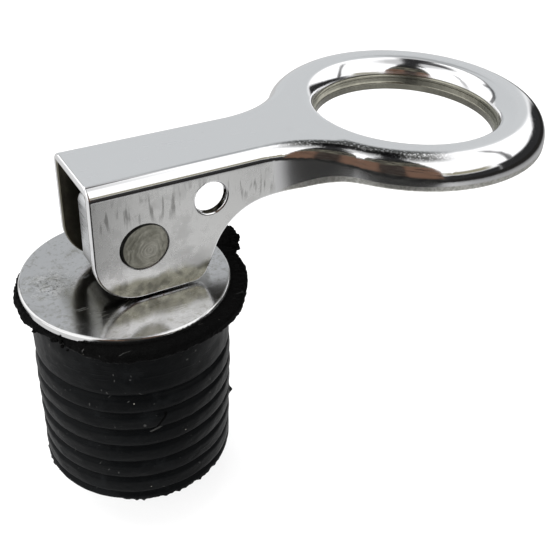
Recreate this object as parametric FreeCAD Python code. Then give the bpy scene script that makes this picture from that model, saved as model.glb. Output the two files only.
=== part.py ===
import FreeCAD, Part
import math
import os

# Boat drain plug with a fold-down cam lever, in millimetres.
# Z runs up the plug's axis and X towards the finger ring. The origin is on the axis at the
# underside of the stopper's flange, the face that seats on the drain tube.
# The lever is drawn locked, lying flat over the plug, with the rubber squeezed.

# Rubber stopper
BODY_DIAMETER = 25.4
BODY_LENGTH = 26.0
BODY_EDGE_CHAMFER = 0.4
FLANGE_DIAMETER = 29.4
FLANGE_THICKNESS = 1.5
FLANGE_EDGE_CHAMFER = 0.35
FLANGE_OFF_CENTRE = 0.4
SMOOTH_BAND_LENGTH = 7.4
GROOVE_DEPTH = 0.35
GROOVE_HALF_WIDTH = 0.3
RIB_COUNT = 6
FOOT_LENGTH = 1.4

# Plate, washer and nut
PLATE_DIAMETER = 26.6
PLATE_THICKNESS = 0.8
PLATE_EDGE_ROUND = 0.35
PLATE_SHIFT_X = -0.4
PLATE_SHIFT_Y = 0.2
WASHER_DIAMETER = 21.0
WASHER_THICKNESS = 1.0
WASHER_EDGE_CHAMFER = 0.15
NUT_SIDES = 6
NUT_ACROSS_FLATS = 10.0
NUT_HEX_HEIGHT = 4.4
NUT_CORNER_CUT = 0.6
NUT_CHAMFER_ANGLE = 30.0
NUT_COLLAR_DIAMETER = 8.9
NUT_COLLAR_HEIGHT = 1.6
NUT_INSERT_DIAMETER = 7.6
NUT_INSERT_HEIGHT = 1.3

# Stem and pivot pin
STEM_DIAMETER = 6.0
STEM_PAST_NUT = 1.0
STEM_END_CHAMFER = 0.5
HEAD_WIDTH = 9.8
HEAD_THICKNESS = 5.0
HEAD_ABOVE_PIN = 4.6
HEAD_OVER_PLATE = 1.6
HEAD_TOP_ROUND = 1.4
HEAD_LOWER_ROUND = 1.6
PIN_DIAMETER = 6.2
PIN_CHAMFER = 0.15
PIN_BELOW_CHEEK = 0.05

# Lever sheet
SHEET = 1.2
CHANNEL_WIDTH = 11.6
LEVER_TOP_ABOVE_PIN = 8.92
RING_CENTRE_FROM_PIN = 41.4
RING_HOLE_RADIUS = 12.4
RING_INNER_BEND = 2.2
RING_FLAT = 0.8
RING_OUTER_BEND = 3.3
THROAT_PLAN_RADIUS = 13.0
CHANNEL_BEND = 1.8
FULL_BEND_FROM_PIN = 36.0
COLLAR_STEP = 0.3
COLLAR_STEP_DEPTH = 2.8
COLLAR_DEPTH = 4.5
COLLAR_GUARD = 0.25
RING_SKIRT_DEPTH = 4.15

# Lever cheeks: the cam that rides on the plate
CAM_LOCKED = 7.2
CAM_RELEASED = 6.35
CAM_CORNER = 6.0
HEEL_FROM_PIN = 7.75
HEEL_CORNER = 2.2
HEEL_SLOPE = 69.0
SWEEP_DEPTH = 7.19
SWEEP_RADIUS = 8.0
THROAT_FROM_PIN = 21.0
THROAT_DEPTH = 5.72
SKIRT_RISE_LENGTH = 4.9
SKIRT_BLEND = 8.0
TIE_HOLE_RADIUS = 2.1
TIE_HOLE_FROM_PIN = 8.75
TIE_HOLE_ABOVE_PIN = 4.33

# Clearances
CAM_GAP = 0.25
PIN_RUNNING_GAP = 0.08
STEM_RUNNING_GAP = 0.05
STEM_IN_RUBBER_GAP = 0.35
STEM_IN_PLATE_GAP = 0.3
INSERT_SEAT_GAP = 0.02

# Levels and radii worked out from the sizes above
BODY_RADIUS = BODY_DIAMETER / 2
STEM_RADIUS = STEM_DIAMETER / 2
PIN_RADIUS = PIN_DIAMETER / 2
PLATE_TOP = FLANGE_THICKNESS + PLATE_THICKNESS
PIN_LEVEL = PLATE_TOP + CAM_GAP + CAM_LOCKED
LEVER_TOP = PIN_LEVEL + LEVER_TOP_ABOVE_PIN
WASHER_BOTTOM = -BODY_LENGTH - WASHER_THICKNESS
NUT_BOTTOM = WASHER_BOTTOM - NUT_HEX_HEIGHT - NUT_COLLAR_HEIGHT
RING_BEND_START = RING_HOLE_RADIUS + COLLAR_STEP + RING_INNER_BEND + RING_FLAT
RING_OUTER_RADIUS = RING_BEND_START + RING_OUTER_BEND
LEVER_END = RING_CENTRE_FROM_PIN + RING_OUTER_RADIUS
PAST = 2.0
TINY = 1e-6

Y_AXIS = FreeCAD.Vector(0, 1, 0)
Z_AXIS = FreeCAD.Vector(0, 0, 1)


def at(x, y, z):
    return FreeCAD.Vector(x, y, z)


def rod(radius, bottom, top, x=0.0, y=0.0):
    """A round bar along Z between two levels."""
    return Part.makeCylinder(radius, top - bottom, at(x, y, bottom))


def cross_rod(radius, length, x, z):
    """A round bar along Y, centred on the plug's middle plane."""
    return Part.makeCylinder(radius, length, at(x, -length / 2, z), Y_AXIS)


def edges_where(shape, test):
    return [edge for edge in shape.Edges if test(edge)]


def is_level(edge, level):
    """True for an edge that lies in one horizontal plane."""
    box = edge.BoundBox
    return abs(box.ZMin - level) < TINY and abs(box.ZMax - level) < TINY


def is_circle(edge, radius):
    curve = edge.Curve
    return curve.TypeId == "Part::GeomCircle" and abs(curve.Radius - radius) < TINY


def rounded_polygon(corners):
    """A closed wire through (point, radius) corners, with each corner rounded by a tangent arc."""
    starts = []
    ends = []
    arcs = []
    count = len(corners)
    for i in range(count):
        point, radius = corners[i]
        back = corners[i - 1][0] - point
        ahead = corners[(i + 1) % count][0] - point
        back.normalize()
        ahead.normalize()
        if radius == 0:
            starts.append(point)
            ends.append(point)
            arcs.append(None)
            continue
        half = back.getAngle(ahead) / 2
        inward = (back + ahead).normalize()
        centre = point + inward * (radius / math.sin(half))
        starts.append(point + back * (radius / math.tan(half)))
        ends.append(point + ahead * (radius / math.tan(half)))
        arcs.append(Part.Arc(starts[i], centre - inward * radius, ends[i]).toShape())
    edges = []
    for i in range(count):
        if arcs[i]:
            edges.append(arcs[i])
        after = starts[(i + 1) % count]
        if ends[i].distanceToPoint(after) > TINY:
            edges.append(Part.LineSegment(ends[i], after).toShape())
    return Part.Wire(edges)


def rubber_stopper():
    """The plug body: a band that seals, shallow ribs below it, and a thin flange on top."""
    rib_pitch = (BODY_LENGTH - SMOOTH_BAND_LENGTH - FOOT_LENGTH) / RIB_COUNT
    bore = STEM_RADIUS + STEM_IN_RUBBER_GAP
    groove = BODY_RADIUS - GROOVE_DEPTH
    points = [at(bore, 0, 0), at(BODY_RADIUS, 0, 0)]
    edges = [Part.LineSegment(points[0], points[1]).toShape()]
    here = points[1]
    for i in range(RIB_COUNT + 1):
        level = -SMOOTH_BAND_LENGTH - i * rib_pitch
        above = at(BODY_RADIUS, 0, level + GROOVE_HALF_WIDTH)
        below = at(BODY_RADIUS, 0, level - GROOVE_HALF_WIDTH)
        edges.append(Part.LineSegment(here, above).toShape())
        edges.append(Part.LineSegment(above, at(groove, 0, level)).toShape())
        edges.append(Part.LineSegment(at(groove, 0, level), below).toShape())
        here = below
    corner = at(BODY_RADIUS, 0, -BODY_LENGTH)
    edges.append(Part.LineSegment(here, corner).toShape())
    foot = at(bore, 0, -BODY_LENGTH)
    edges.append(Part.LineSegment(corner, foot).toShape())
    edges.append(Part.LineSegment(foot, points[0]).toShape())
    body = Part.Face(Part.Wire(edges)).revolve(at(0, 0, 0), Z_AXIS, 360)
    body = body.makeChamfer(BODY_EDGE_CHAMFER, edges_where(
        body, lambda edge: is_level(edge, -BODY_LENGTH) and is_circle(edge, BODY_RADIUS)))
    flange = rod(FLANGE_DIAMETER / 2, 0, FLANGE_THICKNESS, FLANGE_OFF_CENTRE)
    flange = flange.makeChamfer(FLANGE_EDGE_CHAMFER, edges_where(
        flange, lambda edge: is_circle(edge, FLANGE_DIAMETER / 2)))
    return body.fuse(flange).cut(rod(bore, -PAST, FLANGE_THICKNESS + PAST)).removeSplitter()


def top_plate():
    """The disc that the cam presses on. It sits a little off-centre in the play of its hole."""
    radius = PLATE_DIAMETER / 2
    plate = rod(radius, FLANGE_THICKNESS, PLATE_TOP, PLATE_SHIFT_X, PLATE_SHIFT_Y)
    plate = plate.makeFillet(PLATE_EDGE_ROUND, edges_where(
        plate, lambda edge: is_level(edge, PLATE_TOP) and is_circle(edge, radius)))
    play = math.hypot(PLATE_SHIFT_X, PLATE_SHIFT_Y)
    hole = STEM_RADIUS + STEM_IN_PLATE_GAP + play
    return plate.cut(rod(hole, FLANGE_THICKNESS - PAST, PLATE_TOP + PAST,
                         PLATE_SHIFT_X, PLATE_SHIFT_Y))


def stem():
    """A round shank with a flat head that takes the pivot pin. The thread is left plain."""
    bottom = NUT_BOTTOM - STEM_PAST_NUT
    head_bottom = PLATE_TOP + HEAD_OVER_PLATE
    head_top = PIN_LEVEL + HEAD_ABOVE_PIN
    half = HEAD_WIDTH / 2
    outline = rounded_polygon([
        (at(-half, -HEAD_THICKNESS / 2, head_bottom), HEAD_LOWER_ROUND),
        (at(half, -HEAD_THICKNESS / 2, head_bottom), HEAD_LOWER_ROUND),
        (at(half, -HEAD_THICKNESS / 2, head_top), HEAD_TOP_ROUND),
        (at(-half, -HEAD_THICKNESS / 2, head_top), HEAD_TOP_ROUND),
    ])
    head = Part.Face(outline).extrude(Y_AXIS * HEAD_THICKNESS)
    shank = rod(STEM_RADIUS, bottom, head_bottom)
    shank = shank.makeChamfer(STEM_END_CHAMFER, edges_where(
        shank, lambda edge: is_level(edge, bottom) and is_circle(edge, STEM_RADIUS)))
    joined = head.fuse(shank).removeSplitter()
    return joined.cut(cross_rod(PIN_RADIUS, HEAD_THICKNESS + PAST, 0, PIN_LEVEL))


def pivot_pin():
    length = CHANNEL_WIDTH - 2 * PIN_BELOW_CHEEK
    pin = cross_rod(PIN_RADIUS, length, 0, PIN_LEVEL)
    return pin.makeChamfer(PIN_CHAMFER, edges_where(
        pin, lambda edge: is_circle(edge, PIN_RADIUS)))


def bottom_washer():
    radius = WASHER_DIAMETER / 2
    washer = rod(radius, WASHER_BOTTOM, -BODY_LENGTH)
    washer = washer.makeChamfer(WASHER_EDGE_CHAMFER, edges_where(
        washer, lambda edge: is_circle(edge, radius)))
    return washer.cut(rod(STEM_RADIUS + STEM_IN_PLATE_GAP, WASHER_BOTTOM - PAST, PAST - BODY_LENGTH))


def lock_nut():
    """A hexagon nut with a round collar below it that holds the insert."""
    corner_radius = NUT_ACROSS_FLATS / 2 / math.cos(math.pi / NUT_SIDES)
    collar_top = WASHER_BOTTOM - NUT_HEX_HEIGHT
    corners = []
    for i in range(NUT_SIDES):
        angle = 2 * math.pi * i / NUT_SIDES
        corners.append(at(corner_radius * math.cos(angle), corner_radius * math.sin(angle), collar_top))
    hexagon = Part.Face(Part.makePolygon(corners + corners[:1])).extrude(Z_AXIS * NUT_HEX_HEIGHT)
    bevel_radius = corner_radius - NUT_CORNER_CUT
    spread = NUT_HEX_HEIGHT / math.tan(math.radians(NUT_CHAMFER_ANGLE))
    bevel = Part.makeCone(bevel_radius, bevel_radius + spread, NUT_HEX_HEIGHT, at(0, 0, collar_top))
    hexagon = hexagon.common(bevel)
    collar = rod(NUT_COLLAR_DIAMETER / 2, NUT_BOTTOM, collar_top)
    nut = hexagon.fuse(collar).removeSplitter()
    nut = nut.cut(rod(STEM_RADIUS + STEM_RUNNING_GAP, NUT_BOTTOM - PAST, WASHER_BOTTOM + PAST))
    pocket = rod(NUT_INSERT_DIAMETER / 2, NUT_BOTTOM - PAST, NUT_BOTTOM + NUT_INSERT_HEIGHT)
    return nut.cut(pocket)


def nut_insert():
    """The soft ring that grips the thread, seated in the nut's collar."""
    top = NUT_BOTTOM + NUT_INSERT_HEIGHT
    ring = rod(NUT_INSERT_DIAMETER / 2 - INSERT_SEAT_GAP, NUT_BOTTOM, top)
    return ring.cut(rod(STEM_RADIUS + STEM_RUNNING_GAP, NUT_BOTTOM - PAST, top + PAST))


def throat(inset):
    """Where the channel's side meets the ring, seen from above: the ends and middle of its arc."""
    half_width = CHANNEL_WIDTH / 2 - inset
    ring = RING_OUTER_RADIUS - inset
    blend = THROAT_PLAN_RADIUS + inset
    reach = math.sqrt((ring + blend) ** 2 - (half_width + blend) ** 2)
    sweep = math.atan2(reach, half_width + blend)
    start_x = RING_CENTRE_FROM_PIN - reach
    points = []
    for turn in (0, sweep / 2, sweep):
        points.append(at(start_x + blend * math.sin(turn),
                         -half_width - blend * (1 - math.cos(turn)), 0))
    return points


def on_ring(x, inset):
    """The point of the ring's near outer side at one place along the lever."""
    along = x - RING_CENTRE_FROM_PIN
    return at(x, -math.sqrt((RING_OUTER_RADIUS - inset) ** 2 - along ** 2), 0)


def lever_plan(inset, left_end):
    """The lever seen from above, drawn inwards by inset: a channel flowing into the ring."""
    near = [at(left_end, -CHANNEL_WIDTH / 2 + inset, 0)] + throat(inset)
    near.append(on_ring((near[-1].x + FULL_BEND_FROM_PIN) / 2, inset))
    near.append(on_ring(FULL_BEND_FROM_PIN, inset))
    far = [at(point.x, -point.y, 0) for point in near]
    tip = at(LEVER_END - inset, 0, 0)
    edges = [
        Part.LineSegment(near[0], near[1]),
        Part.Arc(near[1], near[2], near[3]),
        Part.Arc(near[3], near[4], near[5]),
        Part.Arc(near[5], tip, far[5]),
        Part.Arc(far[5], far[4], far[3]),
        Part.Arc(far[3], far[2], far[1]),
        Part.LineSegment(far[1], far[0]),
        Part.LineSegment(far[0], near[0]),
    ]
    return Part.Face(Part.Wire([edge.toShape() for edge in edges]))


def bend_at(x, inset):
    """The outer bend's radius at one place: it grows from the throat along the ring."""
    start = throat(inset)[0].x
    share = (x - start) / (FULL_BEND_FROM_PIN - start)
    share = min(max(share, 0), 1)
    return CHANNEL_BEND + (RING_OUTER_BEND - CHANNEL_BEND) * share - inset


def bent_block(inset, left_end):
    """The lever's form without its hollow, drawn inwards by inset, with all its bends."""
    top = LEVER_TOP - inset
    hole = RING_HOLE_RADIUS + COLLAR_STEP + inset
    form = lever_plan(inset, left_end).extrude(Z_AXIS * LEVER_TOP)
    form.translate(Z_AXIS * (top - LEVER_TOP))
    form = form.cut(rod(hole, -PAST - inset, LEVER_TOP + PAST, RING_CENTRE_FROM_PIN))
    sheet = FreeCAD.newDocument("bends")
    base = sheet.addObject("Part::Feature", "form")
    base.Shape = form
    fillet = sheet.addObject("Part::Fillet", "bend")
    fillet.Base = base
    marked = []
    for number, edge in enumerate(form.Edges, 1):
        if not is_level(edge, top) or edge.BoundBox.XMax < left_end + TINY:
            continue
        if is_circle(edge, hole):
            marked.append((number, RING_INNER_BEND - inset, RING_INNER_BEND - inset))
        else:
            start = bend_at(edge.valueAt(edge.FirstParameter).x, inset)
            end = bend_at(edge.valueAt(edge.LastParameter).x, inset)
            marked.append((number, start, end))
    fillet.Edges = marked
    sheet.recompute()
    bent = fillet.Shape.copy()
    FreeCAD.closeDocument(sheet.Name)
    return bent


def below_sheet():
    """What the side view trims off: all that lies under the cheeks, the sweep and the skirt."""
    side = -RING_OUTER_RADIUS - PAST
    heel_z = PIN_LEVEL - CAM_LOCKED
    sweep_z = LEVER_TOP - SWEEP_DEPTH
    throat_z = LEVER_TOP - THROAT_DEPTH
    skirt_z = LEVER_TOP - RING_SKIRT_DEPTH
    sweep_x = HEEL_FROM_PIN + (sweep_z - heel_z) / math.tan(math.radians(HEEL_SLOPE))
    skirt_x = THROAT_FROM_PIN + SKIRT_RISE_LENGTH
    left = -CAM_RELEASED - PAST
    right = LEVER_END + PAST
    floor = -LEVER_TOP
    outline = rounded_polygon([
        (at(left, side, floor), 0),
        (at(left, side, LEVER_TOP + PAST), 0),
        (at(-CAM_RELEASED, side, LEVER_TOP + PAST), 0),
        (at(-CAM_RELEASED, side, heel_z), CAM_CORNER),
        (at(HEEL_FROM_PIN, side, heel_z), HEEL_CORNER),
        (at(sweep_x, side, sweep_z), SWEEP_RADIUS),
        (at(THROAT_FROM_PIN, side, throat_z), SKIRT_BLEND),
        (at(skirt_x, side, skirt_z), SKIRT_BLEND),
        (at(right, side, skirt_z), 0),
        (at(right, side, floor), 0),
    ])
    return Part.Face(outline).extrude(Y_AXIS * (-2 * side))


def ring_collar():
    """The drawn wall round the finger hole, stepped in below the bend."""
    top = LEVER_TOP - COLLAR_STEP_DEPTH
    bottom = LEVER_TOP - COLLAR_DEPTH
    wall = rod(RING_HOLE_RADIUS + COLLAR_STEP + SHEET, bottom, top, RING_CENTRE_FROM_PIN)
    return wall.cut(rod(RING_HOLE_RADIUS, bottom - PAST, top + PAST, RING_CENTRE_FROM_PIN))


def lever():
    """One formed sheet: cam cheeks on a channel that opens into a hollow finger ring."""
    outside = bent_block(0, -CAM_RELEASED)
    hollow = bent_block(SHEET, -CAM_RELEASED - PAST)
    sheet = outside.cut(hollow)
    collar_zone = rod(RING_HOLE_RADIUS + COLLAR_STEP + SHEET + COLLAR_GUARD,
                      LEVER_TOP - COLLAR_DEPTH, LEVER_TOP, RING_CENTRE_FROM_PIN)
    sheet = sheet.cut(below_sheet().cut(collar_zone))
    sheet = sheet.fuse(ring_collar())
    sheet = sheet.cut(cross_rod(PIN_RADIUS + PIN_RUNNING_GAP, CHANNEL_WIDTH + PAST, 0, PIN_LEVEL))
    tie_hole = cross_rod(TIE_HOLE_RADIUS, CHANNEL_WIDTH + PAST, TIE_HOLE_FROM_PIN,
                         PIN_LEVEL + TIE_HOLE_ABOVE_PIN)
    return sheet.cut(tie_hole).removeSplitter()


def main():
    os.makedirs("parts", exist_ok=True)
    pieces = {
        "lever": lever(),
        "pivot_pin": pivot_pin(),
        "stem": stem(),
        "top_plate": top_plate(),
        "rubber_stopper": rubber_stopper(),
        "bottom_washer": bottom_washer(),
        "lock_nut": lock_nut(),
        "nut_insert": nut_insert(),
    }
    for name, shape in pieces.items():
        shape.exportStep("parts/" + name + ".step")
        print(name, "valid" if shape.isValid() else "INVALID", len(shape.Solids), round(shape.Volume, 1))


main()
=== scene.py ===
import math
import random

import bmesh
import bpy
from mathutils import Matrix, Vector, noise


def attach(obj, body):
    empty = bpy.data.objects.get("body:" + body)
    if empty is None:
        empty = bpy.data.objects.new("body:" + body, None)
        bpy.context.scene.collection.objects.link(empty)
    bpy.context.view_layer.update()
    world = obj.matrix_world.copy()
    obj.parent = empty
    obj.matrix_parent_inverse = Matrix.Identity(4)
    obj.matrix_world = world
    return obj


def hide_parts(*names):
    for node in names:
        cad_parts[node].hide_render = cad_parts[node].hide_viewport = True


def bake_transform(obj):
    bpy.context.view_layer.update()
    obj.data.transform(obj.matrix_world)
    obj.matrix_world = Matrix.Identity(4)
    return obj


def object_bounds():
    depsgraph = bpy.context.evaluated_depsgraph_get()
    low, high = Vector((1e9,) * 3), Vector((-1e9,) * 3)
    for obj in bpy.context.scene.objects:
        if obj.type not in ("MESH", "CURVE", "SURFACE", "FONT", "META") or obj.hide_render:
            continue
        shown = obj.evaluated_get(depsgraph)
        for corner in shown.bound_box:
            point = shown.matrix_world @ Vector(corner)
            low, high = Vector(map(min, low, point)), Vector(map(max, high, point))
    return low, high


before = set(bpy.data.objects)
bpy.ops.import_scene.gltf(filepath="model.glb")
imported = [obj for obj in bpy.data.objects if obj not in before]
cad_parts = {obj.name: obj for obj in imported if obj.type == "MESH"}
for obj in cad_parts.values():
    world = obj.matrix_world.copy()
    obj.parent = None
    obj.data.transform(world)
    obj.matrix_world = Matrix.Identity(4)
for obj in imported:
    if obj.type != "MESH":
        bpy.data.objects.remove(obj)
cad_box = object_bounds()

# Everything is in metres. Most sizes below are given in millimetres and multiplied by MM.
MM = 0.001

# Camera, fitted to the photograph
CAMERA_PLACE = (-32.805 * MM, -88.586 * MM, 69.013 * MM)
CAMERA_HEADING = -32.012
CAMERA_HEIGHT_ANGLE = 35.732
CAMERA_ROLL = 3.033
CAMERA_LENS = 57.806

# Rubber stopper
BODY_RADIUS = 12.7
BORE_RADIUS = 3.35
BODY_FOOT = -26.0
FLANGE_TOP = 1.5
FLANGE_RADIUS = 14.7
FLANGE_OFF_CENTRE = 0.4
FIRST_GROOVE = -7.4
LAST_GROOVE = -24.6
RIB_COUNT = 6
RIB_DEPTH = 0.38
RIB_SPREAD = 0.16
# The crack in its side: the angle and level of its two ends
CRACK_TOP = (-94.9, -10.6)
CRACK_FOOT = (-102.4, -13.6)
# A moulding nub on its side: angle and level
NUB = (-28.0, -17.5)
SPIN_STEPS = 480
# The torn flap beside the lever's heel: its angle and half width
FLAP_ANGLE = 17.0
FLAP_HALF_WIDTH = 9.0
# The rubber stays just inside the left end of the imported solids
LEFT_END = cad_box[0][0] / MM + 0.005

# Lever
RING_CENTRE_X = 41.4
RING_OUTER_RADIUS = 19.0
PIN_LEVEL = 9.75
# The round at the finger hole, which leaves the hole's wall with a lean
HOLE_BEND = 2.2
HOLE_BEND_RADIUS = 14.9
HOLE_BEND_FOOT = 16.47
HOLE_WALL_LEAN = 0.36
# The hollow side of the throat, seen from above: the middle of its round and its radius
THROAT_MIDDLE = (15.5, 18.8)
THROAT_RADIUS = 13.0

# Plate
PLATE_CENTRE = (-0.4, 0.2)
PLATE_PATCH = (-9.6, 2.0)
# The painted shade beside the heel: its middle, and how far it reaches in X and Y
PLATE_SHADE_MIDDLE = (-7.0, -4.5)
SHADE_REACH = (2.6, 6.5)

STAGE_HALF = 4.0

# What the steel sees of the room. Headings run from +X towards +Y and heights from the horizon, in degrees.
# The dark seams between white panels: heading at the horizon, lean, half width, low, high, strength
ROOM_SEAMS = [
    (113, -0.5, 4, 0, 44, 0.85),
    (154, 0.0, 3.5, 0, 56, 0.55),
    (-38, 0.2, 5, -20, 16, 1.0),
]
# The dark floor edge round the front: left, right and top
ROOM_DARK_EDGE = [
    (-95, -44, 15),
    (-46, 32, 20),
]
ARCH_MIDDLE = (12, 14)
ARCH_REACH = (44, 38)
# The slot that the camera looks through runs over the top
SLOT_HEADING = math.radians(53)
SLOT_HALF = 0.085

# The dark card in front, with the camera behind it: its ends seen from above, foot and top, in millimetres
CARD_LEFT_END = (-46.0, -32.3)
CARD_RIGHT_END = (30.0, -140.0)
CARD_FOOT = -33.0
CARD_TOP = 560.0
# How far its two ends are from the lever, and the level that it is seen from
CARD_NEAR = 72.0
CARD_FAR = 130.0
EYE_LEVEL = 17.0
FLOOR_GLOW = 0.72

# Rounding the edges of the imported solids
MERGE = 0.001
FLAT_ANGLE = 0.3
SHARP_ANGLE = 40
SHEET_EDGE_ROUND = 0.28
# How far from their middles the collar and the pivot holes keep crisp edges
COLLAR_REACH = 13.2
PIVOT_REACH = 3.4


def feed(tree, socket, value):
    """Sets a socket to a number or colour, or links another node's output to it."""
    if isinstance(value, bpy.types.NodeSocket):
        tree.links.new(value, socket)
    else:
        socket.default_value = value


def put(tree, kind, settings=None, inputs=None):
    """Adds a node with its settings, and feeds its sockets by name or number."""
    node = tree.nodes.new(kind)
    for name, value in (settings or {}).items():
        setattr(node, name, value)
    for name, value in (inputs or {}).items():
        feed(tree, node.inputs[name], value)
    return node


def calc(tree, operation, *values):
    node = put(tree, "ShaderNodeMath", {"operation": operation}, dict(enumerate(values)))
    return node.outputs[0]


def times(tree, first, second):
    return calc(tree, "MULTIPLY", first, second)


def plus(tree, first, second):
    return calc(tree, "ADD", first, second)


def minus(tree, first, second):
    return calc(tree, "SUBTRACT", first, second)


def over(tree, first, second):
    return calc(tree, "DIVIDE", first, second)


def ramp(tree, value, start, end, low=0.0, high=1.0):
    """Goes smoothly from low to high while value goes from start to end."""
    node = put(tree, "ShaderNodeMapRange", {"interpolation_type": "SMOOTHSTEP"}, {
        "Value": value, "From Min": start, "From Max": end, "To Min": low, "To Max": high})
    return node.outputs["Result"]


def between(tree, value, low, high, soft):
    """1 between two levels and 0 outside them, with soft sides."""
    rise = ramp(tree, value, low - soft, low + soft)
    fall = ramp(tree, value, high - soft, high + soft, 1.0, 0.0)
    return times(tree, rise, fall)


def blend_colour(tree, share, first, second):
    node = put(tree, "ShaderNodeMix", {"data_type": "RGBA"}, {0: share, 6: first, 7: second})
    return node.outputs[2]


def grey(level):
    return (level, level, level, 1.0)


def noise_at(tree, place, scale, detail=3.0, roughness=0.55):
    node = put(tree, "ShaderNodeTexNoise", {}, {
        "Vector": place, "Scale": scale, "Detail": detail, "Roughness": roughness})
    return node.outputs["Fac"]


def stretched(tree, place, turn=(0, 0, 0), scale=(1, 1, 1), shift=(0, 0, 0)):
    node = put(tree, "ShaderNodeMapping", {}, {
        "Vector": place, "Rotation": turn, "Scale": scale, "Location": shift})
    return node.outputs["Vector"]


def effect(name, inputs, outputs):
    """A node group for one effect. Returns its tree, its inputs and the node its outputs feed."""
    tree = bpy.data.node_groups.new(name, "ShaderNodeTree")
    for label, kind, start in inputs:
        made = tree.interface.new_socket(label, in_out="INPUT", socket_type=kind)
        if start is not None:
            made.default_value = start
    for label, kind in outputs:
        tree.interface.new_socket(label, in_out="OUTPUT", socket_type=kind)
    given = tree.nodes.new("NodeGroupInput").outputs
    result = tree.nodes.new("NodeGroupOutput")
    return tree, given, result


def use(tree, group, inputs):
    node = put(tree, "ShaderNodeGroup", {"node_tree": group}, inputs)
    return node.outputs


VECTOR = "NodeSocketVector"
NUMBER = "NodeSocketFloat"


def make_scratches():
    """Fine straight scratches in three directions, as a mask."""
    tree, given, result = effect("fine_scratches", [
        ("Place", VECTOR, None), ("Scale", NUMBER, 1.0), ("Amount", NUMBER, 0.5)],
        [("Mask", NUMBER)])
    total = None
    for number, turn in enumerate(((0.3, 0.2, 0.5), (0.1, 0.9, 1.7), (1.2, 0.4, 2.6))):
        place = stretched(tree, given["Place"], turn, (260, 5200, 2600), (number, 2 * number, 0))
        lines = put(tree, "ShaderNodeTexNoise", {}, {
            "Vector": place, "Scale": given["Scale"], "Detail": 1.0, "Roughness": 0.4}).outputs["Fac"]
        edge = minus(tree, 0.80, times(tree, given["Amount"], 0.12))
        line = ramp(tree, lines, edge, plus(tree, edge, 0.05))
        total = line if total is None else calc(tree, "MAXIMUM", total, line)
    feed(tree, result.inputs["Mask"], total)
    return tree


def make_grain():
    """The fine straight grain of a brushed or drawn face, from 0 to 1."""
    tree, given, result = effect("brushed_grain", [
        ("Place", VECTOR, None), ("Along", VECTOR, (1.0, 1.0, 1.0)), ("Scale", NUMBER, 1.0)],
        [("Grain", NUMBER)])
    place = put(tree, "ShaderNodeVectorMath", {"operation": "MULTIPLY"}, {
        0: given["Place"], 1: given["Along"]}).outputs["Vector"]
    fine = put(tree, "ShaderNodeTexNoise", {}, {
        "Vector": place, "Scale": given["Scale"], "Detail": 4.0, "Roughness": 0.6}).outputs["Fac"]
    feed(tree, result.inputs["Grain"], fine)
    return tree


def make_smudges():
    """Cloudy marks of handling, as a mask."""
    tree, given, result = effect("smudges", [
        ("Place", VECTOR, None), ("Scale", NUMBER, 200.0), ("Cover", NUMBER, 0.5)],
        [("Mask", NUMBER)])
    cloud = put(tree, "ShaderNodeTexNoise", {}, {
        "Vector": given["Place"], "Scale": given["Scale"], "Detail": 6.0,
        "Roughness": 0.62, "Distortion": 0.6}).outputs["Fac"]
    start = minus(tree, 0.72, times(tree, given["Cover"], 0.4))
    feed(tree, result.inputs["Mask"], ramp(tree, cloud, start, plus(tree, start, 0.22)))
    return tree


def make_specks():
    """Scattered small round specks, as a mask."""
    tree, given, result = effect("specks", [
        ("Place", VECTOR, None), ("Scale", NUMBER, 900.0), ("Size", NUMBER, 0.1)],
        [("Mask", NUMBER)])
    cells = put(tree, "ShaderNodeTexVoronoi", {}, {
        "Vector": given["Place"], "Scale": given["Scale"]})
    chance = put(tree, "ShaderNodeSeparateColor", {}, {"Color": cells.outputs["Color"]}).outputs[0]
    size = times(tree, given["Size"], ramp(tree, chance, 0.55, 1.0))
    near = minus(tree, size, cells.outputs["Distance"])
    feed(tree, result.inputs["Mask"], ramp(tree, near, 0.0, 0.03))
    return tree


SCRATCHES = make_scratches()
GRAIN = make_grain()
SMUDGES = make_smudges()
SPECKS = make_specks()


def material(name):
    """A new material with its surface shader, and the piece's own coordinates."""
    made = bpy.data.materials.new(name)
    made.use_nodes = True
    tree = made.node_tree
    tree.nodes.clear()
    surface = tree.nodes.new("ShaderNodeBsdfPrincipled")
    shown = tree.nodes.new("ShaderNodeOutputMaterial")
    tree.links.new(surface.outputs["BSDF"], shown.inputs["Surface"])
    where = tree.nodes.new("ShaderNodeTexCoord")
    return made, tree, surface, where


def place_mm(tree, where):
    """The x, y and z of the piece's own coordinates, in millimetres."""
    scaled = put(tree, "ShaderNodeVectorMath", {"operation": "SCALE"}, {
        0: where.outputs["Object"], "Scale": 1 / MM}).outputs["Vector"]
    split = put(tree, "ShaderNodeSeparateXYZ", {}, {0: scaled})
    return split.outputs[0], split.outputs[1], split.outputs[2]


def distance_from(tree, first, second, centre=(0.0, 0.0)):
    """How far a point is from a centre in one plane."""
    a = calc(tree, "POWER", minus(tree, first, centre[0]), 2.0)
    b = calc(tree, "POWER", minus(tree, second, centre[1]), 2.0)
    return calc(tree, "SQRT", plus(tree, a, b))


def bump(tree, surface, height, depth):
    node = put(tree, "ShaderNodeBump", {}, {"Height": height, "Distance": depth, "Strength": 1.0})
    feed(tree, surface.inputs["Normal"], node.outputs["Normal"])


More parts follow.
